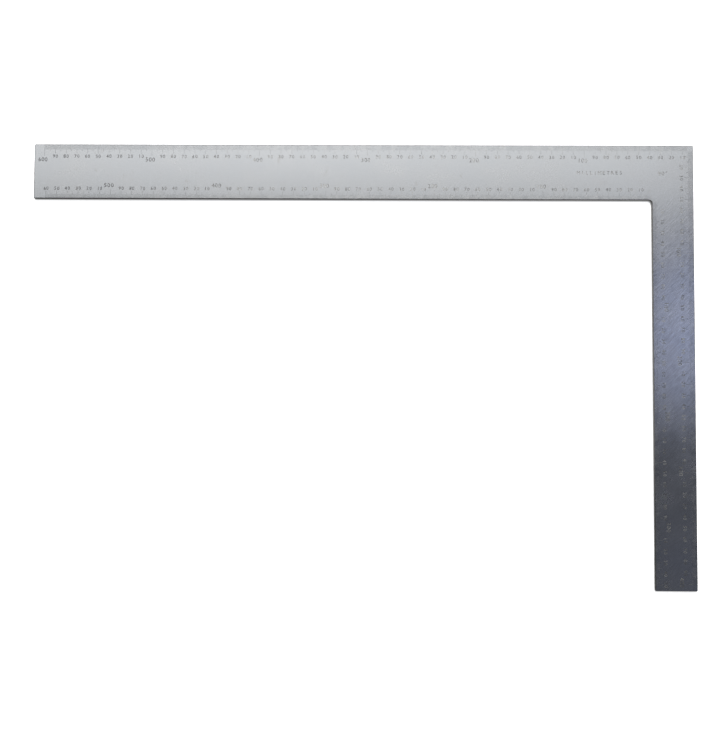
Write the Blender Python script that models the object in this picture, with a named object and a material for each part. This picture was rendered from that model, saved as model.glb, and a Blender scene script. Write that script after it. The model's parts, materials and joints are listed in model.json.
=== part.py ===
"""Steel square: one flat L-shaped plate with cut graduations, lying on its back face.

The long wide arm is the body and the short narrow arm is the tongue. They meet at the heel.
The origin is under the middle of the plate's box, on the face it lies on. +X runs along the body
towards the heel, +Y runs across the body towards its outer edge, and +Z rises out of the front face.
"""

import math

import bmesh
import bpy
from mathutils import Matrix, Vector

INCH = 0.0254
CENTIMETRE = 0.01

# The blank
BODY_LENGTH = 24 * INCH
BODY_WIDTH = 2 * INCH
TONGUE_LENGTH = 16 * INCH
TONGUE_WIDTH = 1.5 * INCH
THICKNESS = 0.0025
INNER_CORNER_RADIUS = 0.003
OUTER_CORNER_RADIUS = 0.0009
EDGE_RADIUS = 0.0006

# The graduations: centimetres on the front face, inches on the back face
LINE_WIDTH = 0.0003
LINE_DEPTH = 0.0002
LINE_EDGE_GAP = 0.0003
OUTER_LINE_LENGTH = 0.0080
INNER_LINE_LENGTH = 0.0066
END_CLEARANCE = 0.003

# How finely the round stretches are drawn
INNER_CORNER_STEPS = 6
OUTER_CORNER_STEPS = 3
EDGE_STEPS = 3
SHARP_ANGLE = math.radians(60)

STEEL_COLOUR = (0.62, 0.63, 0.65, 1.0)
STEEL_ROUGHNESS = 0.3


def clear_scene():
    for old in list(bpy.data.objects):
        bpy.data.objects.remove(old)


def heel_corner():
    """The outer corner of the square, where both outer scales start."""
    return Vector((BODY_LENGTH / 2, TONGUE_LENGTH / 2))


def inner_corner():
    """The inner corner of the square, where both inner scales start."""
    return heel_corner() - Vector((TONGUE_WIDTH, BODY_WIDTH))


def rounded_corner(corner, before, after, radius, steps):
    """Points of the arc that rounds a right-angled corner, on the way from before to after."""
    to_before = (before - corner).normalized()
    to_after = (after - corner).normalized()
    centre = corner + (to_before + to_after) * radius
    points = []
    for step in range(steps + 1):
        turn = math.pi / 2 * step / steps
        points.append(centre - to_after * radius * math.cos(turn) - to_before * radius * math.sin(turn))
    return points


def plate_outline():
    """The L seen from above, counterclockwise."""
    heel = heel_corner()
    inside = inner_corner()
    corners = [
        (heel, OUTER_CORNER_RADIUS, OUTER_CORNER_STEPS),
        (Vector((heel.x - BODY_LENGTH, heel.y)), OUTER_CORNER_RADIUS, OUTER_CORNER_STEPS),
        (Vector((heel.x - BODY_LENGTH, inside.y)), OUTER_CORNER_RADIUS, OUTER_CORNER_STEPS),
        (inside, INNER_CORNER_RADIUS, INNER_CORNER_STEPS),
        (Vector((inside.x, heel.y - TONGUE_LENGTH)), OUTER_CORNER_RADIUS, OUTER_CORNER_STEPS),
        (Vector((heel.x, heel.y - TONGUE_LENGTH)), OUTER_CORNER_RADIUS, OUTER_CORNER_STEPS),
    ]
    outline = []
    for index, (corner, radius, steps) in enumerate(corners):
        before = corners[index - 1][0]
        after = corners[(index + 1) % len(corners)][0]
        outline += rounded_corner(corner, before, after, radius, steps)
    return outline


def scales():
    """Each scale's face height, start, direction, way in from the edge, line length, unit and reach."""
    heel = heel_corner()
    inside = inner_corner()
    left, right = Vector((-1, 0)), Vector((1, 0))
    down, up = Vector((0, -1)), Vector((0, 1))
    for face_height, unit in ((THICKNESS, CENTIMETRE), (0.0, INCH)):
        yield face_height, heel, left, down, OUTER_LINE_LENGTH, unit, BODY_LENGTH
        yield face_height, inside, left, up, INNER_LINE_LENGTH, unit, BODY_LENGTH - TONGUE_WIDTH
        yield face_height, heel, down, left, OUTER_LINE_LENGTH, unit, TONGUE_LENGTH
        yield face_height, inside, down, right, INNER_LINE_LENGTH, unit, TONGUE_LENGTH - BODY_WIDTH


def line_positions():
    """Centre line of every graduation: its start at the edge, its end, and its face height."""
    for face_height, start, along, inward, line_length, unit, reach in scales():
        whole_units = int((reach - END_CLEARANCE) / unit)
        for number in range(1, whole_units + 1):
            at_edge = start + along * (unit * number)
            first = at_edge + inward * (EDGE_RADIUS + LINE_EDGE_GAP)
            last = at_edge + inward * line_length
            yield first, last, face_height


def build_plate(steel):
    mesh = bpy.data.meshes.new("square_plate")
    shape = bmesh.new()
    rim = [shape.verts.new((point.x, point.y, 0.0)) for point in plate_outline()]
    face = shape.faces.new(rim)
    raised = bmesh.ops.extrude_face_region(shape, geom=[face])["geom"]
    top = [item for item in raised if isinstance(item, bmesh.types.BMVert)]
    bmesh.ops.translate(shape, verts=top, vec=(0, 0, THICKNESS))
    bmesh.ops.recalc_face_normals(shape, faces=shape.faces)
    shape.to_mesh(mesh)
    shape.free()
    plate = bpy.data.objects.new("square_plate", mesh)
    bpy.context.scene.collection.objects.link(plate)
    mesh.materials.append(steel)
    mesh.shade_smooth()
    mesh.set_sharp_from_angle(angle=SHARP_ANGLE)
    return plate


def round_edges(plate):
    bevel = plate.modifiers.new("rounded_edges", "BEVEL")
    bevel.width = EDGE_RADIUS
    bevel.segments = EDGE_STEPS
    bevel.limit_method = "ANGLE"
    bevel.angle_limit = SHARP_ANGLE


def build_line_cutter():
    """One mesh of thin bars, each half sunk into the face that it marks."""
    mesh = bpy.data.meshes.new("line_cutter")
    bars = bmesh.new()
    for first, last, face_height in line_positions():
        middle = (first + last) / 2
        span = last - first
        size = Vector((abs(span.x) or LINE_WIDTH, abs(span.y) or LINE_WIDTH, 2 * LINE_DEPTH))
        place = Matrix.Translation((middle.x, middle.y, face_height))
        bmesh.ops.create_cube(bars, size=1.0, matrix=place @ Matrix.Diagonal(size.to_4d()))
    bars.to_mesh(mesh)
    bars.free()
    cutter = bpy.data.objects.new("line_cutter", mesh)
    bpy.context.scene.collection.objects.link(cutter)
    cutter.hide_render = True
    cutter.display_type = "WIRE"
    return cutter


def cut_lines(plate, cutter):
    cut = plate.modifiers.new("graduations", "BOOLEAN")
    cut.operation = "DIFFERENCE"
    cut.object = cutter


def steel_material():
    steel = bpy.data.materials.new("satin_steel")
    steel.use_nodes = True
    shader = steel.node_tree.nodes["Principled BSDF"]
    shader.inputs["Base Color"].default_value = STEEL_COLOUR
    shader.inputs["Metallic"].default_value = 1.0
    shader.inputs["Roughness"].default_value = STEEL_ROUGHNESS
    return steel


def main():
    clear_scene()
    plate = build_plate(steel_material())
    round_edges(plate)
    cut_lines(plate, build_line_cutter())


main()
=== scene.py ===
import json
import math
import random

import bmesh
import bpy
from mathutils import Euler, Matrix, Vector


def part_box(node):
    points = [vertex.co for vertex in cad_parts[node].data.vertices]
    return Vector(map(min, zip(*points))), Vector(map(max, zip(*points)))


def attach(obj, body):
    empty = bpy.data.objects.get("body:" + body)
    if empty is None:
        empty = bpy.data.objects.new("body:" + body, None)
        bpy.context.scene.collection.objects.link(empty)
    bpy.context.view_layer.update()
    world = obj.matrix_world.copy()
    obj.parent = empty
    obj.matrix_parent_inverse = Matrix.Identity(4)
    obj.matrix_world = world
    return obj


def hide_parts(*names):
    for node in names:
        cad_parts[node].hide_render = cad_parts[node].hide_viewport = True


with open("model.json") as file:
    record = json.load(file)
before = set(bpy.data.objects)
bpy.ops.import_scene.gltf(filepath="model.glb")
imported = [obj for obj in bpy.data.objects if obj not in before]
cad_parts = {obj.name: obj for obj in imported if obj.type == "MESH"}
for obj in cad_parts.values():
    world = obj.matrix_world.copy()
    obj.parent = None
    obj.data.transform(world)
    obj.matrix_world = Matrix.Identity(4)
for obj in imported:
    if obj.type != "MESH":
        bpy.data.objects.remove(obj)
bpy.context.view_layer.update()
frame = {"record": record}

# ---------------------------------------------------------------- sizes, in metres

MM = 0.001
INCH = 25.4 * MM

BLANK_LOW, BLANK_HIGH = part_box("square_plate")
FACES = {mount["name"]: Vector(mount["pos_m"]) for mount in frame["record"]["mounts"]}
HEEL = Vector((BLANK_HIGH.x, BLANK_HIGH.y, 0.0))
INNER = Vector((FACES["inner_tongue_edge"].x, FACES["inner_body_edge"].y, 0.0))

INNER_CORNER_RADIUS = 3.0 * MM
OUTER_CORNER_RADIUS = 0.9 * MM
ARRIS_RADIUS = 0.6 * MM
INNER_CORNER_STEPS = 12
OUTER_CORNER_STEPS = 5
ARRIS_STEPS = 6

# How squarely a face or an edge has to point to count as facing a way, as upright, or as truly flat
FACING = 0.9
UPRIGHT = 0.99
TRULY_FLAT = 0.9999

# How near to a place counts as there, the least bend at an outer corner, and the most that is shaded smooth
NEARBY = 0.1 * MM
CORNER_BEND = math.radians(60)
SMOOTH_BEND = math.radians(30)

# The finishes' places in the plate's list. The rim takes every face that leans further over than its reach,
# so nearly all the rounded arris takes the rim's dark tone, which is partly painted shade.
STEEL_SLOT, MARK_SLOT, RIM_SLOT = 0, 1, 2
RIM_REACH = 0.995

# The marks: how deep, how wide at the face, and how much narrower at the bottom
MARK_DEPTH = 0.1 * MM
MARK_WIDTH = 0.22 * MM
MARK_FLOOR_SHARE = 0.6
MARK_OVERRUN = 1.0 * MM

# Directions on the plate
LEFT, RIGHT = Vector((-1, 0, 0)), Vector((1, 0, 0))
DOWN, UP = Vector((0, -1, 0)), Vector((0, 1, 0))
FRONT, BACK = Vector((0, 0, 1)), Vector((0, 0, -1))

# Each scale: where it starts, the way it runs, the way in from its edge, and the top of its numerals
BODY_OUTER = (HEEL, LEFT, DOWN, UP)
BODY_INNER = (INNER, LEFT, UP, UP)
TONGUE_OUTER = (HEEL, DOWN, LEFT, RIGHT)
TONGUE_INNER = (INNER, DOWN, RIGHT, RIGHT)

# Glyphs are modelled with capitals one unit tall
GLYPH_CURVE_STEPS = 2
CAP_HEIGHT_OF_FONT = 0.691
GLYPH_WELD = 0.00001

# How far off true a struck glyph sits, in place, turn and share of its size
STRIKE_SEED = 24
STRIKE_SLIP = 0.07 * MM
STRIKE_TURN = math.radians(2.0)
STRIKE_SIZE = 0.03


# ---------------------------------------------------------------- working by hand

def settle():
    """Leaves edit mode and deselects everything, so that the next step acts on its own piece only."""
    if bpy.context.mode != "OBJECT":
        bpy.ops.object.mode_set(mode="OBJECT")
    bpy.ops.object.select_all(action="DESELECT")


def take(piece):
    settle()
    piece.select_set(True)
    bpy.context.view_layer.objects.active = piece
    return piece


def open_mesh(piece, kind):
    """Goes into edit mode on the piece with nothing selected."""
    take(piece)
    bpy.ops.object.mode_set(mode="EDIT")
    bpy.ops.mesh.select_mode(type=kind)
    bpy.ops.mesh.select_all(action="DESELECT")


def pick(piece, kind, wanted):
    """Selects the faces or edges of the open mesh that wanted() says yes to."""
    shape = bmesh.from_edit_mesh(piece.data)
    bpy.ops.mesh.select_mode(type=kind)
    bpy.ops.mesh.select_all(action="DESELECT")
    parts = shape.faces if kind == "FACE" else shape.edges
    for part in parts:
        if wanted(part):
            part.select = True
    shape.select_flush_mode()
    bmesh.update_edit_mesh(piece.data)


def set_place(piece):
    """Puts the object's own place and size into its mesh."""
    take(piece)
    bpy.ops.object.transform_apply(location=True, rotation=True, scale=True)


def apply_modifier(piece, kind, **settings):
    take(piece)
    modifier = piece.modifiers.new(kind.lower(), kind)
    for name, value in settings.items():
        setattr(modifier, name, value)
    bpy.ops.object.modifier_apply(modifier=modifier.name)


def add_block(name, low, high):
    settle()
    bpy.ops.mesh.primitive_cube_add(size=1, location=(low + high) / 2, scale=high - low)
    block = bpy.context.object
    block.name = block.data.name = name
    set_place(block)
    return block


# ---------------------------------------------------------------- the blank

def is_upright(edge):
    return abs((edge.verts[1].co - edge.verts[0].co).normalized().z) > UPRIGHT


def near_inner_corner(edge):
    middle = (edge.verts[0].co + edge.verts[1].co) / 2
    return (middle.xy - INNER.xy).length < NEARBY


def bounds_a_face_of_the_plate(edge):
    """Whether the edge runs round the front or the back face."""
    flat = [abs(face.normal.z) > UPRIGHT for face in edge.link_faces]
    return any(flat) and not all(flat)


def cut_blank():
    """The L in one piece: a bar for the body, with the tongue drawn out of its inner side."""
    plate = add_block("graduated_plate", Vector((BLANK_LOW.x, INNER.y, BLANK_LOW.z)), BLANK_HIGH)
    open_mesh(plate, "FACE")
    bpy.ops.mesh.select_all(action="SELECT")
    bpy.ops.mesh.bisect(plane_co=INNER, plane_no=RIGHT)
    pick(plate, "FACE", lambda face: face.normal.y < -FACING and face.calc_center_median().x > INNER.x)
    bpy.ops.mesh.extrude_region_move(TRANSFORM_OT_translate={"value": (0, BLANK_LOW.y - INNER.y, 0)})
    bpy.ops.mesh.select_all(action="SELECT")
    bpy.ops.mesh.dissolve_limited(angle_limit=math.radians(1))
    pick(plate, "EDGE", lambda edge: is_upright(edge) and near_inner_corner(edge))
    bpy.ops.mesh.bevel(offset=INNER_CORNER_RADIUS, segments=INNER_CORNER_STEPS, affect="EDGES")
    pick(plate, "EDGE", lambda edge: is_upright(edge) and edge.calc_face_angle() > CORNER_BEND)
    bpy.ops.mesh.bevel(offset=OUTER_CORNER_RADIUS, segments=OUTER_CORNER_STEPS, affect="EDGES")
    pick(plate, "EDGE", bounds_a_face_of_the_plate)
    bpy.ops.mesh.bevel(offset=ARRIS_RADIUS, segments=ARRIS_STEPS, affect="EDGES")
    settle()
    return plate


# ---------------------------------------------------------------- the cutting tool for the marks

def sink(position, side):
    """The point on the front or the back face over a position."""
    height = BLANK_HIGH.z if side is FRONT else BLANK_LOW.z
    return Vector((position.x, position.y, height))


def add_line(scale, side, distance, length, repeats):
    """A tapered bar that cuts one line of a scale, from past the edge inwards.

    It is repeated along the scale, once for each (step, count) in repeats.
    """
    start, along, inward, _ = scale
    centre = sink(start + along * distance, side)
    outer = centre - inward * MARK_OVERRUN
    inner = centre + inward * length
    half = along * (MARK_WIDTH / 2) + FRONT * MARK_DEPTH
    corners = (outer - half, outer + half, inner - half, inner + half)
    low = Vector(min(corner[axis] for corner in corners) for axis in range(3))
    high = Vector(max(corner[axis] for corner in corners) for axis in range(3))
    line = add_block("line_tool", low, high)
    open_mesh(line, "FACE")
    pick(line, "FACE", lambda face: face.normal.dot(side) < -FACING)
    narrow = [MARK_FLOOR_SHARE if abs(part) > 0.5 else 1 for part in along]
    bpy.ops.transform.resize(value=narrow)
    settle()
    for step, count in repeats:
        apply_modifier(
            line, "ARRAY", use_relative_offset=False, use_constant_offset=True,
            constant_offset_displace=along * step, count=count,
        )
    return line


def model_glyph(character):
    """One closed character, its feet on y = 0, its middle on x = 0, one unit tall."""
    settle()
    bpy.ops.object.text_add()
    glyph = bpy.context.object
    glyph.data.body = character
    glyph.data.align_x = "CENTER"
    glyph.data.size = 1 / CAP_HEIGHT_OF_FONT
    glyph.data.extrude = MARK_DEPTH
    glyph.data.resolution_u = GLYPH_CURVE_STEPS
    bpy.ops.object.convert(target="MESH")
    open_mesh(glyph, "FACE")
    bpy.ops.mesh.select_all(action="SELECT")
    bpy.ops.mesh.remove_doubles(threshold=GLYPH_WELD)
    settle()
    return glyph


class Punches:
    """The set of glyphs, each modelled once, and the copies struck from them."""

    def __init__(self, seed):
        self.glyphs = {}
        self.struck = []
        self.hand = random.Random(seed)

    def strike(self, character, centre, top, side, height):
        """Copies a glyph to its place, a hair off true in place, turn and size."""
        if character not in self.glyphs:
            self.glyphs[character] = model_glyph(character)
        slip = Vector((self.hand.gauss(0, STRIKE_SLIP), self.hand.gauss(0, STRIKE_SLIP), 0))
        turn = Matrix.Rotation(self.hand.gauss(0, STRIKE_TURN), 4, "Z")
        size = height * (1 + self.hand.uniform(-STRIKE_SIZE, STRIKE_SIZE))
        reading = top.cross(side)
        axes = Matrix((reading, top, side)).transposed().to_4x4()
        drop = Matrix.Translation((0, -0.5, 0))
        place = Matrix.Translation(sink(centre, side) + slip) @ axes @ turn
        copy = self.glyphs[character].copy()
        copy.data = copy.data.copy()
        copy.data.transform(place @ Matrix.Diagonal((size, size, 1, 1)) @ drop)
        bpy.context.scene.collection.objects.link(copy)
        self.struck.append(copy)

    def write(self, text, centre, top, side, height, pitch):
        """A row of characters with its middle at centre."""
        reading = top.cross(side)
        for index, character in enumerate(text):
            if character != " ":
                at = centre + reading * (pitch * (index - (len(text) - 1) / 2))
                self.strike(character, at, top, side, height)

    def put_away(self):
        for glyph in self.glyphs.values():
            bpy.data.objects.remove(glyph)


# Millimetre lines: length of the single, the five, the ten and the hundred
OUTER_MM_LINES = (5.0 * MM, 6.5 * MM, 8.6 * MM, 10.8 * MM)
INNER_MM_LINES = (3.9 * MM, 5.2 * MM, 7.1 * MM, 8.3 * MM)

# Where two scales cross at the heel, neither has a line nearer the corner than this
FIRST_CLEAR_MM = 6

# How many millimetres each edge is graduated for, and how far in its rows of tens and of hundreds stand
BODY_OUTER_MM, BODY_OUTER_ROWS = 600, (11.2 * MM, 14.2 * MM)
BODY_INNER_MM, BODY_INNER_ROWS = 560, (9.5 * MM, 12.4 * MM)
TONGUE_OUTER_MM, TONGUE_OUTER_ROWS = 400, (11.1 * MM, 14.2 * MM)
TONGUE_INNER_MM, TONGUE_INNER_ROWS = 350, (9.4 * MM, 12.4 * MM)

# Lettering: its height and the pitch of its characters
TEN_FIGURES = (3.1 * MM, 2.7 * MM)
HUNDRED_FIGURES = (3.8 * MM, 3.1 * MM)
UNIT_LETTERS = (3.3 * MM, 3.9 * MM)
ANGLE_FIGURES = (3.8 * MM, 3.3 * MM)
UNIT_PLACE = HEEL + Vector((-86, -25.5, 0)) * MM
ANGLE_PLACE = HEEL + Vector((-28, -26, 0)) * MM

# Inch lines: length of the sixteenth, the eighth, the quarter, the half and the inch
OUTER_INCH_LINES = (3.2 * MM, 4.6 * MM, 6.0 * MM, 7.6 * MM, 10.0 * MM)
INNER_INCH_LINES = (2.6 * MM, 3.8 * MM, 5.0 * MM, 6.4 * MM, 8.4 * MM)

# Inch numerals: how far in from the edge their row stands, and their height
OUTER_INCH_FIGURES = (13.5 * MM, 4.2 * MM)
INNER_INCH_FIGURES = (11.2 * MM, 3.4 * MM)
INCH_PITCH = 0.9

# Each scale of the back: its inches, lines, numerals, whether it crosses another at the heel, and whether its
# last line would fall on the plate's end
BACK_SCALES = (
    (BODY_OUTER, 24, OUTER_INCH_LINES, OUTER_INCH_FIGURES, True, True),
    (TONGUE_OUTER, 16, OUTER_INCH_LINES, OUTER_INCH_FIGURES, True, True),
    (BODY_INNER, 22, INNER_INCH_LINES, INNER_INCH_FIGURES, False, False),
    (TONGUE_INNER, 14, INNER_INCH_LINES, INNER_INCH_FIGURES, False, True),
)


def add_millimetre_lines(scale, side, reach, lengths, crosses):
    """Lines at every millimetre up to reach, without the first five where two scales cross at the heel."""
    single, five, ten, hundred = lengths
    skipped = 1 if crosses else 0
    singles = ((1 * MM, 4), (5 * MM, reach // 5 - skipped))
    fives = ((10 * MM, reach // 10 - skipped),)
    tens = ((10 * MM, 9), (100 * MM, reach // 100))
    hundreds = ((100 * MM, reach // 100),)
    lines = [
        add_line(scale, side, (1 + 5 * skipped) * MM, single, singles),
        add_line(scale, side, (5 + 10 * skipped) * MM, five, fives),
        add_line(scale, side, 10 * MM, ten, tens),
        add_line(scale, side, 100 * MM, hundred, hundreds),
    ]
    whole = reach // 100 * 100
    if reach > whole:
        lines.append(add_line(scale, side, (whole + 10) * MM, ten, ((10 * MM, (reach - whole) // 10),)))
    return lines


def add_millimetre_numerals(punches, scale, side, reach, rows, first):
    """Two figures at every ten, and three at every hundred, whose last two stand over its line."""
    start, along, inward, top = scale
    reading = top.cross(side)
    ten_row, hundred_row = rows
    _, hundred_pitch = HUNDRED_FIGURES
    for number in range(first, reach + 1, 10):
        at = start + along * (number * MM)
        if number % 100:
            punches.write(str(number % 100), at + inward * ten_row, top, side, *TEN_FIGURES)
        else:
            middle = at - reading * (hundred_pitch / 2) + inward * hundred_row
            punches.write(str(number), middle, top, side, *HUNDRED_FIGURES)


def graduate_front(punches):
    """Millimetres along all four edges, zero at the outer corner outside and at the inner corner inside."""
    lines = []
    for scale, reach in ((BODY_OUTER, BODY_OUTER_MM), (TONGUE_OUTER, TONGUE_OUTER_MM)):
        lines += add_millimetre_lines(scale, FRONT, reach, OUTER_MM_LINES, crosses=True)
    for scale, reach in ((BODY_INNER, BODY_INNER_MM), (TONGUE_INNER, TONGUE_INNER_MM)):
        lines += add_millimetre_lines(scale, FRONT, reach, INNER_MM_LINES, crosses=False)
    add_millimetre_numerals(punches, BODY_OUTER, FRONT, BODY_OUTER_MM, BODY_OUTER_ROWS, first=10)
    add_millimetre_numerals(punches, BODY_INNER, FRONT, BODY_INNER_MM, BODY_INNER_ROWS, first=10)
    add_millimetre_numerals(punches, TONGUE_OUTER, FRONT, TONGUE_OUTER_MM, TONGUE_OUTER_ROWS, first=20)
    add_millimetre_numerals(punches, TONGUE_INNER, FRONT, TONGUE_INNER_MM, TONGUE_INNER_ROWS, first=10)
    punches.write("MILLIMETRES", UNIT_PLACE, UP, FRONT, *UNIT_LETTERS)
    punches.write("90°", ANGLE_PLACE, UP, FRONT, *ANGLE_FIGURES)
    return lines


def add_inch_lines(scale, side, inches, lengths, crosses, ends_at_edge):
    """Lines at every sixteenth. One that would cross at the heel, or fall on the plate's end, is left out."""
    lines = []
    for parts, length in zip((16, 8, 4, 2, 1), lengths):
        step = INCH / parts * (1 if parts == 1 else 2)
        first = INCH / parts
        count = round(inches * INCH / step)
        if crosses and first < FIRST_CLEAR_MM * MM:
            skipped = math.ceil((FIRST_CLEAR_MM * MM - first) / step)
            first += skipped * step
            count -= skipped
        if parts == 1 and ends_at_edge:
            count -= 1
        lines.append(add_line(scale, side, first, length, ((step, count),)))
    return lines


def add_inch_numerals(punches, scale, side, inches, figures):
    start, along, inward, top = scale
    row, height = figures
    for number in range(1, inches + 1):
        at = start + along * (number * INCH) + inward * row
        punches.write(str(number), at, top, side, height, INCH_PITCH * height)


def graduate_back(punches):
    """Inches and sixteenths along all four edges."""
    lines = []
    for scale, inches, lengths, _, crosses, ends_at_edge in BACK_SCALES:
        lines += add_inch_lines(scale, BACK, inches, lengths, crosses, ends_at_edge)
    for scale, inches, _, figures, _, ends_at_edge in BACK_SCALES:
        last = inches - 1 if ends_at_edge else inches
        add_inch_numerals(punches, scale, BACK, last, figures)
    punches.write("INCHES", UNIT_PLACE, UP, BACK, *UNIT_LETTERS)
    return lines


def make_marking_tool(slots):
    punches = Punches(STRIKE_SEED)
    lines = graduate_front(punches) + graduate_back(punches)
    punches.put_away()
    settle()
    for part in lines + punches.struck:
        part.select_set(True)
    tool = lines[0]
    bpy.context.view_layer.objects.active = tool
    bpy.ops.object.join()
    tool.name = tool.data.name = "marking_tool"
    tool.data.materials.clear()
    for slot in slots:
        tool.data.materials.append(slot)
    tool.data.polygons.foreach_set("material_index", [MARK_SLOT] * len(tool.data.polygons))
    return tool


def cut_marks(plate, tool):
    """Sinks every mark into both faces. The cut faces keep the tool's own slot."""
    apply_modifier(
        plate, "BOOLEAN", operation="DIFFERENCE", object=tool, solver="MANIFOLD", material_mode="INDEX",
    )
    bpy.data.objects.remove(tool)


def is_flat_face(face):
    return abs(face.normal.z) > TRULY_FLAT and face.material_index == STEEL_SLOT


def shade_plate(plate):
    """Smooth round the arrises and corners, with the two flat faces kept truly flat."""
    take(plate)
    bpy.ops.object.shade_smooth_by_angle(angle=SMOOTH_BEND)
    open_mesh(plate, "FACE")
    pick(plate, "FACE", is_flat_face)
    bpy.ops.mesh.region_to_loop()
    bpy.ops.mesh.mark_sharp()
    settle()


def assign_rim(plate):
    """The sheared sides, with most of the rounded arris, have a finish of their own, whose dark tone is
    partly painted shade.
    """
    for face in plate.data.polygons:
        if abs(face.normal.z) < RIM_REACH:
            face.material_index = RIM_SLOT


# ---------------------------------------------------------------- finishes

# The strokes that the polishing wheel left, and how strongly they show as tone and as relief
STROKE_WIDTH = 1.15 * MM
STROKE_LENGTH = 6.5 * MM
STROKE_TURN = math.radians(46)
STROKE_TONE = 0.5
STROKE_RELIEF = 1.5
STROKE_PATCH = 22 * MM
BODY_STROKES = 0.03
TONGUE_STROKES = 1.0
TIP_STROKES = 0.4
HEEL_FADE = (110 * MM, 175 * MM)
TIP_FADE = (-120 * MM, -20 * MM)

# The fine pebble under the strokes, how rough it leaves the face, and how deep the whole grain is
PEBBLE_SIZE = 0.45 * MM
PEBBLE_RELIEF = 0.01
FACE_ROUGHNESS = (0.235, 0.25)
GRAIN_DEPTH = 0.006 * MM

# What handling leaves: the size and strength of smears, stains and scratches
SMEAR_SIZE = 32 * MM
SMEAR_DULLS = 0.03
STAIN_SIZE = 9 * MM
STAIN_SHOWS = 0.35
RIM_STAIN_SHOWS = 0.5
SCRATCHES = ((8, 6.0 * MM), (-63, 8.0 * MM), (35, 7.0 * MM))      # direction in degrees, and spacing
SCRATCH_STRETCH = 14.0
SCRATCH_HALF_WIDTH = 0.006
SCRATCH_BREAKS = 14 * MM
SCRATCH_SHOWS = 0.25
SCRATCH_RELIEF = 0.3

CLEAN_STEEL = (0.60, 0.612, 0.63, 1)
SMEARED_STEEL = (0.625, 0.632, 0.645, 1)
STAINED_STEEL = (0.50, 0.485, 0.47, 1)
SCRATCHED_STEEL = (0.8, 0.8, 0.8, 1)

# The etch: the grain of its bite, how its tone varies from mark to mark, and how much darker it grows towards
# the ends, the darkening down the tongue being painted shade
ETCHED_STEEL = (0.33, 0.325, 0.31, 1)
BITE_SIZE = 0.2 * MM
BITE_RANGE = (0.75, 1.2)
BITE_DEPTH = 0.02 * MM
BATCH_SIZE = 5 * MM
BATCH_RANGE = (0.6, 1.45)
BODY_END_FADE, BODY_END_ETCH = (-290 * MM, -60 * MM), 0.1
TONGUE_END_SHADE_RANGE, TONGUE_END_PAINTED_SHADE = (-150 * MM, -40 * MM), 0.78

# The sides, lined through the thickness, dark partly as dull sheared steel and partly as painted shade, and
# how their painted shade deepens along the body and down the tongue towards the two ends
DARK_RIM = (0.028, 0.027, 0.027, 1)
LIGHT_RIM = (0.07, 0.068, 0.066, 1)
STAINED_RIM = (0.05, 0.04, 0.034, 1)
RIM_LINE_SIZE = 0.22 * MM
RIM_LINE_SQUEEZE = 0.06
RIM_LINE_DEPTH = 0.03 * MM
RIM_ALONG_BODY, RIM_BODY_PAINTED_SHADE = (-300 * MM, 250 * MM), (0.4, 2.4)
RIM_ALONG_TONGUE, RIM_TONGUE_PAINTED_SHADE = (-150 * MM, -40 * MM), (0.25, 1.0)


class Nodes:
    """A node tree with short ways to add and join its nodes."""

    def __init__(self, tree):
        self.tree = tree

    def add(self, kind, **settings):
        node = self.tree.nodes.new(kind)
        for name, value in settings.items():
            setattr(node, name, value)
        return node

    def join(self, source, target):
        self.tree.links.new(source, target)

    def feed(self, node, **inputs):
        """Sets or joins a node's inputs by name, with underscores for spaces."""
        for name, value in inputs.items():
            socket = node.inputs[name.replace("_", " ")]
            if isinstance(value, bpy.types.NodeSocket):
                self.join(value, socket)
            else:
                socket.default_value = value
        return node

    def noise(self, vector, scale, detail=2.0, roughness=0.5):
        node = self.feed(self.add("ShaderNodeTexNoise"), Vector=vector, Scale=scale, Detail=detail)
        node.inputs["Roughness"].default_value = roughness
        return node.outputs["Fac"]

    def stretched(self, vector, turn, stretch):
        """The pattern's space, turned about Z and drawn out along its own X."""
        turned = self.feed(self.add("ShaderNodeMapping"), Vector=vector, Rotation=(0, 0, -turn))
        drawn = self.add("ShaderNodeMapping")
        return self.feed(drawn, Vector=turned.outputs["Vector"], Scale=(1 / stretch, 1, 1)).outputs["Vector"]

    def math(self, operation, first, second):
        node = self.add("ShaderNodeMath", operation=operation)
        for socket, value in zip(node.inputs, (first, second)):
            if isinstance(value, bpy.types.NodeSocket):
                self.join(value, socket)
            else:
                socket.default_value = value
        return node.outputs["Value"]

    def remap(self, value, low, high, to_low, to_high):
        """Carries a range of values smoothly over to another, held level past its two ends."""
        node = self.add("ShaderNodeMapRange", interpolation_type="SMOOTHSTEP")
        self.feed(node, Value=value, From_Min=low, From_Max=high, To_Min=to_low, To_Max=to_high)
        return node.outputs["Result"]

    def mix(self, share, first, second, blend="MIX"):
        node = self.add("ShaderNodeMix", data_type="RGBA", blend_type=blend)
        for socket, value in zip((node.inputs[0], node.inputs[6], node.inputs[7]), (share, first, second)):
            if isinstance(value, bpy.types.NodeSocket):
                self.join(value, socket)
            else:
                socket.default_value = value
        return node.outputs[2]


def new_group(name, inputs, outputs):
    group = bpy.data.node_groups.new(name, "ShaderNodeTree")
    for socket, kind, value in inputs:
        made = group.interface.new_socket(socket, in_out="INPUT", socket_type=kind)
        if value is not None:
            made.default_value = value
    for socket, kind in outputs:
        group.interface.new_socket(socket, in_out="OUTPUT", socket_type=kind)
    nodes = Nodes(group)
    return group, nodes, nodes.add("NodeGroupInput"), nodes.add("NodeGroupOutput")


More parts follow.
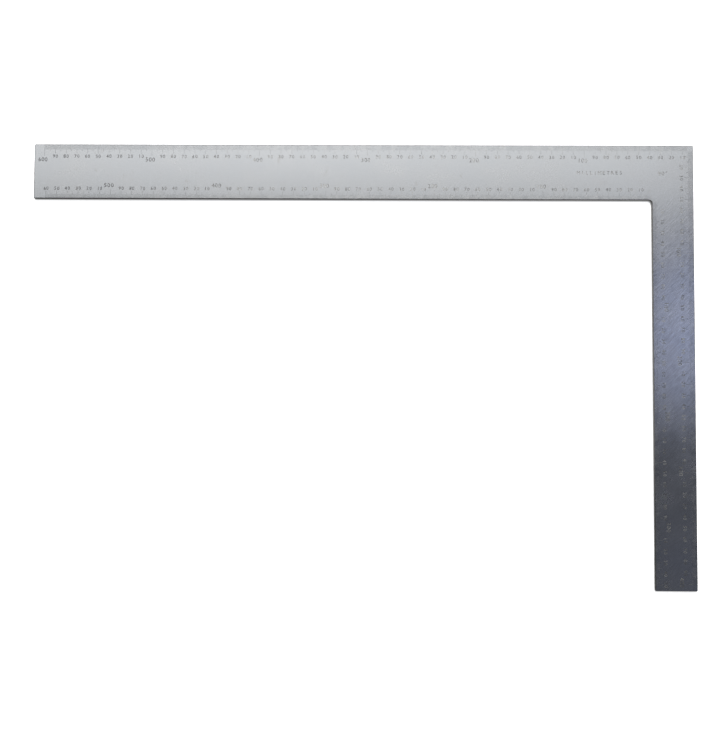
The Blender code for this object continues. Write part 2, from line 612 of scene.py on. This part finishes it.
def satin_grain_group():
    """A polished sheet's skin: short diagonal strokes in patches, over a very fine pebble."""
    group, nodes, given, put_out = new_group(
        "satin_grain",
        [("Vector", "NodeSocketVector", None), ("Strokes", "NodeSocketFloat", 1.0)],
        [("Height", "NodeSocketFloat"), ("Tone", "NodeSocketFloat"), ("Pebble", "NodeSocketFloat")],
    )
    place = given.outputs["Vector"]
    drawn = nodes.stretched(place, STROKE_TURN, STROKE_LENGTH / STROKE_WIDTH)
    stroke = nodes.noise(drawn, 1 / STROKE_WIDTH, 0.0)
    patch = nodes.remap(nodes.noise(place, 1 / STROKE_PATCH, 1.0), 0.35, 0.65, 0.7, 1.25)
    strength = nodes.math("MULTIPLY", given.outputs["Strokes"], patch)
    stroke = nodes.math("MULTIPLY", nodes.math("SUBTRACT", stroke, 0.5), strength)
    pebble = nodes.noise(place, 1 / PEBBLE_SIZE, 2.0, 0.6)
    stroke_height = nodes.math("MULTIPLY", stroke, STROKE_RELIEF)
    pebble_height = nodes.math("MULTIPLY", pebble, PEBBLE_RELIEF)
    nodes.join(nodes.math("ADD", stroke_height, pebble_height), put_out.inputs["Height"])
    nodes.join(nodes.math("ADD", nodes.math("MULTIPLY", stroke, STROKE_TONE), 1.0), put_out.inputs["Tone"])
    nodes.join(pebble, put_out.inputs["Pebble"])
    return group


def handling_group():
    """What use leaves on steel: cloudy smears, small stains, and a few hairline scratches."""
    group, nodes, given, put_out = new_group(
        "handling_marks",
        [("Vector", "NodeSocketVector", None)],
        [("Smear", "NodeSocketFloat"), ("Stain", "NodeSocketFloat"), ("Scratch", "NodeSocketFloat")],
    )
    place = given.outputs["Vector"]
    smear = nodes.remap(nodes.noise(place, 1 / SMEAR_SIZE, 4.0, 0.6), 0.35, 0.7, 0.0, 1.0)
    stain = nodes.remap(nodes.noise(place, 1 / STAIN_SIZE, 5.0, 0.65), 0.6, 0.74, 0.0, 1.0)
    scratch = 0.0
    for turn, spacing in SCRATCHES:
        lines = nodes.add("ShaderNodeTexVoronoi", feature="DISTANCE_TO_EDGE")
        drawn = nodes.stretched(place, math.radians(turn), SCRATCH_STRETCH)
        nodes.feed(lines, Vector=drawn, Scale=1 / spacing)
        hair = nodes.remap(lines.outputs["Distance"], 0.0, SCRATCH_HALF_WIDTH, 1.0, 0.0)
        broken = nodes.remap(nodes.noise(place, 1 / (SCRATCH_BREAKS + spacing), 1.0), 0.58, 0.66, 0.0, 1.0)
        scratch = nodes.math("MAXIMUM", scratch, nodes.math("MULTIPLY", hair, broken))
    nodes.join(smear, put_out.inputs["Smear"])
    nodes.join(stain, put_out.inputs["Stain"])
    nodes.join(scratch, put_out.inputs["Scratch"])
    return group


def new_finish(name):
    """A material with its shader, and the groups' common space in object coordinates."""
    finish = bpy.data.materials.new(name)
    finish.use_nodes = True
    nodes = Nodes(finish.node_tree)
    shader = finish.node_tree.nodes["Principled BSDF"]
    space = nodes.add("ShaderNodeTexCoord").outputs["Object"]
    return finish, nodes, shader, space


def satin_steel(grain, handling):
    """The two graduated faces: a bright satin, a touch warmer where it is stained."""
    finish, nodes, shader, space = new_finish("satin_steel")
    along = nodes.feed(nodes.add("ShaderNodeSeparateXYZ"), Vector=space).outputs["Y"]
    on_body = nodes.remap(along, *HEEL_FADE, TONGUE_STROKES, BODY_STROKES)
    strokes = nodes.math("MULTIPLY", on_body, nodes.remap(along, *TIP_FADE, TIP_STROKES, 1.0))
    skin = nodes.feed(nodes.add("ShaderNodeGroup", node_tree=grain), Vector=space, Strokes=strokes)
    use = nodes.feed(nodes.add("ShaderNodeGroup", node_tree=handling), Vector=space)
    clouds = nodes.mix(use.outputs["Smear"], CLEAN_STEEL, SMEARED_STEEL)
    stained = nodes.mix(nodes.math("MULTIPLY", use.outputs["Stain"], STAIN_SHOWS), clouds, STAINED_STEEL)
    scratch = use.outputs["Scratch"]
    scratched = nodes.mix(nodes.math("MULTIPLY", scratch, SCRATCH_SHOWS), stained, SCRATCHED_STEEL)
    toned = nodes.mix(1.0, scratched, skin.outputs["Tone"], blend="MULTIPLY")
    pebbled = nodes.remap(skin.outputs["Pebble"], 0.3, 0.7, *FACE_ROUGHNESS)
    dull = nodes.math("ADD", pebbled, nodes.math("MULTIPLY", use.outputs["Smear"], SMEAR_DULLS))
    height = nodes.math("SUBTRACT", skin.outputs["Height"], nodes.math("MULTIPLY", scratch, SCRATCH_RELIEF))
    bump = nodes.feed(nodes.add("ShaderNodeBump"), Height=height, Distance=GRAIN_DEPTH, Strength=1.0)
    nodes.feed(shader, Base_Color=toned, Roughness=dull, Normal=bump.outputs["Normal"], Metallic=1.0)
    return finish


def etched_mark():
    """The floor and walls of every mark: rough steel, uneven, darkest at the body's far end, and darker down
    the tongue in painted shade.
    """
    finish, nodes, shader, space = new_finish("etched_mark")
    bite = nodes.noise(space, 1 / BITE_SIZE, 3.0, 0.7)
    batch = nodes.noise(space, 1 / BATCH_SIZE, 3.0)
    bitten = nodes.remap(bite, 0.3, 0.7, *BITE_RANGE)
    tone = nodes.math("MULTIPLY", bitten, nodes.remap(batch, 0.38, 0.62, *BATCH_RANGE))
    parts = nodes.feed(nodes.add("ShaderNodeSeparateXYZ"), Vector=space)
    to_body_end = nodes.remap(parts.outputs["X"], *BODY_END_FADE, BODY_END_ETCH, 1.0)
    # Painted shade: the marks darken down the tongue, where the steel's reflection grows dim.
    tongue_end_painted_shade = nodes.remap(parts.outputs["Y"], *TONGUE_END_SHADE_RANGE, TONGUE_END_PAINTED_SHADE, 1.0)
    tone = nodes.math("MULTIPLY", tone, nodes.math("MULTIPLY", to_body_end, tongue_end_painted_shade))
    colour = nodes.mix(1.0, ETCHED_STEEL, tone, blend="MULTIPLY")
    bump = nodes.feed(nodes.add("ShaderNodeBump"), Height=bite, Distance=BITE_DEPTH, Strength=1.0)
    nodes.feed(shader, Base_Color=colour, Roughness=0.55, Normal=bump.outputs["Normal"], Metallic=0.8)
    return finish


def sheared_rim(handling):
    """The narrow sides: dark and dull, lined through the thickness, their darkness partly painted shade, and
    blackest at the two ends in painted shade.
    """
    finish, nodes, shader, space = new_finish("sheared_rim")
    use = nodes.feed(nodes.add("ShaderNodeGroup", node_tree=handling), Vector=space)
    upright = nodes.feed(nodes.add("ShaderNodeMapping"), Vector=space, Scale=(1, 1, RIM_LINE_SQUEEZE))
    lines = nodes.noise(upright.outputs["Vector"], 1 / RIM_LINE_SIZE, 3.0, 0.6)
    # Partly painted shade: these dark rim colours stand in for shade on the sides and the rounded arris as
    # well as for dull sheared steel.
    clean = nodes.mix(lines, DARK_RIM, LIGHT_RIM)
    stained = nodes.mix(nodes.math("MULTIPLY", use.outputs["Stain"], RIM_STAIN_SHOWS), clean, STAINED_RIM)
    parts = nodes.feed(nodes.add("ShaderNodeSeparateXYZ"), Vector=space)
    # Painted shade: the rim grows darker towards the body's end and down the tongue.
    body_painted_shade = nodes.remap(parts.outputs["X"], *RIM_ALONG_BODY, *RIM_BODY_PAINTED_SHADE)
    tongue_painted_shade = nodes.remap(parts.outputs["Y"], *RIM_ALONG_TONGUE, *RIM_TONGUE_PAINTED_SHADE)
    colour = nodes.mix(1.0, stained, nodes.math("MULTIPLY", body_painted_shade, tongue_painted_shade), blend="MULTIPLY")
    bump = nodes.feed(nodes.add("ShaderNodeBump"), Height=lines, Distance=RIM_LINE_DEPTH, Strength=0.8)
    nodes.feed(shader, Base_Color=colour, Roughness=0.5, Normal=bump.outputs["Normal"], Metallic=0.5)
    return finish


def make_square():
    """The whole square, in one piece as the real one is."""
    grain, handling = satin_grain_group(), handling_group()
    slots = (satin_steel(grain, handling), etched_mark(), sheared_rim(handling))
    plate = cut_blank()
    for slot in slots:
        plate.data.materials.append(slot)
    assign_rim(plate)
    cut_marks(plate, make_marking_tool(slots))
    shade_plate(plate)
    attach(plate, "root")
    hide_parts("square_plate")


# ---------------------------------------------------------------- the table, the lights and the camera

TABLE_SIZE = 8.0
TABLE_GAP = 0.02 * MM
TABLE_GLOW = 0.85

# The thin painted shadow where the plate meets the table, dimming its glow: how far out it reaches and how
# fast it deepens
CONTACT_REACH = 1.8 * MM
CONTACT_DEPTH = 2.5

SOFTBOX_HEIGHT = 1.5
KEY_DISTANCE = 2.0
WHITE_LIGHT = (0.985, 0.997, 1.0)
COOL_LIGHT = (0.54, 0.63, 1.0)
STRIP_LIGHT = (0.72, 0.78, 1.0)

# The room: how bright its near and far walls and its ceiling are, and between which heights the walls end
ROOM_COLOUR = (0.95, 0.97, 1.0, 1)
NEAR_WALL, FAR_WALL = 0.3, 0.8
WALL_TURN = 0.7
WALL_TOP = (0.45, 0.8)
CEILING = 0.05


def pale_table():
    """A plain white light table, just under the plate, its glow dimmed by a painted contact shadow round the
    plate.
    """
    settle()
    bpy.ops.mesh.primitive_plane_add(size=TABLE_SIZE, location=(0, 0, BLANK_LOW.z - TABLE_GAP))
    table = bpy.context.object
    table.name = table.data.name = "pale_table"
    set_place(table)
    finish, nodes, shader, _ = new_finish("white_laminate")
    # Painted shadow: ambient occlusion dims the table's glow close round the plate.
    open_sky = nodes.feed(nodes.add("ShaderNodeAmbientOcclusion"), Distance=CONTACT_REACH).outputs["AO"]
    glow_under_painted_shadow = nodes.math("MULTIPLY", nodes.math("POWER", open_sky, CONTACT_DEPTH), TABLE_GLOW)
    nodes.feed(shader, Base_Color=(0.9, 0.9, 0.9, 1), Roughness=0.9)
    nodes.feed(shader, Emission_Color=(1, 1, 1, 1), Emission_Strength=glow_under_painted_shadow)
    shader.inputs["Specular IOR Level"].default_value = 0.0
    table.data.materials.append(finish)


def hang_softbox(name, low, high, radiance, colour):
    """A flat rectangular light of an even brightness, level overhead, from corner to corner."""
    settle()
    centre = ((low[0] + high[0]) / 2, (low[1] + high[1]) / 2, SOFTBOX_HEIGHT)
    bpy.ops.object.light_add(type="AREA", location=centre)
    lamp = bpy.context.object
    lamp.name = lamp.data.name = name
    lamp.data.shape = "RECTANGLE"
    lamp.data.size, lamp.data.size_y = high[0] - low[0], high[1] - low[1]
    lamp.data.energy = radiance * math.pi * lamp.data.size * lamp.data.size_y
    lamp.data.color = colour


def light_key(name, slant, turn, spread, strength):
    """A far soft light, leaning from overhead by its slant and turned from +Y towards +X."""
    settle()
    slant, turn = math.radians(slant), math.radians(turn)
    way = Vector((math.sin(slant) * math.sin(turn), math.sin(slant) * math.cos(turn), math.cos(slant)))
    bpy.ops.object.light_add(type="SUN", location=way * KEY_DISTANCE)
    lamp = bpy.context.object
    lamp.name = lamp.data.name = name
    lamp.rotation_euler = (-way).to_track_quat("-Z", "Y").to_euler()
    lamp.data.angle = math.radians(spread)
    lamp.data.energy = strength / math.cos(slant)


def paint_room():
    """Pale walls all round, palest behind the square, and a dim ceiling between the softboxes."""
    world = bpy.data.worlds.new("studio_room")
    bpy.context.scene.world = world
    world.use_nodes = True
    nodes = Nodes(world.node_tree)
    way = nodes.add("ShaderNodeTexCoord").outputs["Generated"]
    parts = nodes.feed(nodes.add("ShaderNodeSeparateXYZ"), Vector=way)
    wall = nodes.remap(parts.outputs["Y"], -WALL_TURN, WALL_TURN, NEAR_WALL, FAR_WALL)
    high = nodes.remap(parts.outputs["Z"], *WALL_TOP, 0.0, 1.0)
    lit_wall = nodes.math("MULTIPLY", wall, nodes.math("SUBTRACT", 1.0, high))
    strength = nodes.math("ADD", lit_wall, CEILING)
    nodes.feed(world.node_tree.nodes["Background"], Color=ROOM_COLOUR, Strength=strength)


def light_studio():
    """A bright softbox for the body, two cool panels and a strip for the tongue, and a soft key."""
    paint_room()
    hang_softbox("back_softbox", (-1.58, 0.52), (1.16, 1.4), 1.0, WHITE_LIGHT)
    hang_softbox("side_panel", (0.78, -0.01), (1.5, 0.42), 0.44, COOL_LIGHT)
    hang_softbox("side_strip", (0.78, 0.095), (1.5, 0.145), 3.8, STRIP_LIGHT)
    hang_softbox("front_panel", (0.78, -0.75), (1.5, -0.40), 0.10, COOL_LIGHT)
    light_key("back_key", 55, -8, 25, 1.75)


LENS = 34.4
CAMERA_PLACE = Vector((9.2, -25.35, 643.0)) * MM
CAMERA_TILT = Euler((math.radians(2.078), math.radians(0.608), math.radians(0.325)))


def set_camera():
    """Hangs nearly straight over the table, a little towards the tongue's end and tilted towards the body."""
    settle()
    bpy.ops.object.camera_add(location=CAMERA_PLACE)
    camera = bpy.context.object
    camera.name = camera.data.name = "overhead_camera"
    turns = [Matrix.Rotation(angle, 3, axis) for angle, axis in zip(CAMERA_TILT, "XYZ")]
    camera.rotation_euler = (turns[0] @ turns[1] @ turns[2]).to_euler()
    camera.data.lens = LENS
    bpy.context.scene.camera = camera
    bpy.context.scene.view_settings.view_transform = "Standard"


set_camera()
make_square()
pale_table()
light_studio()
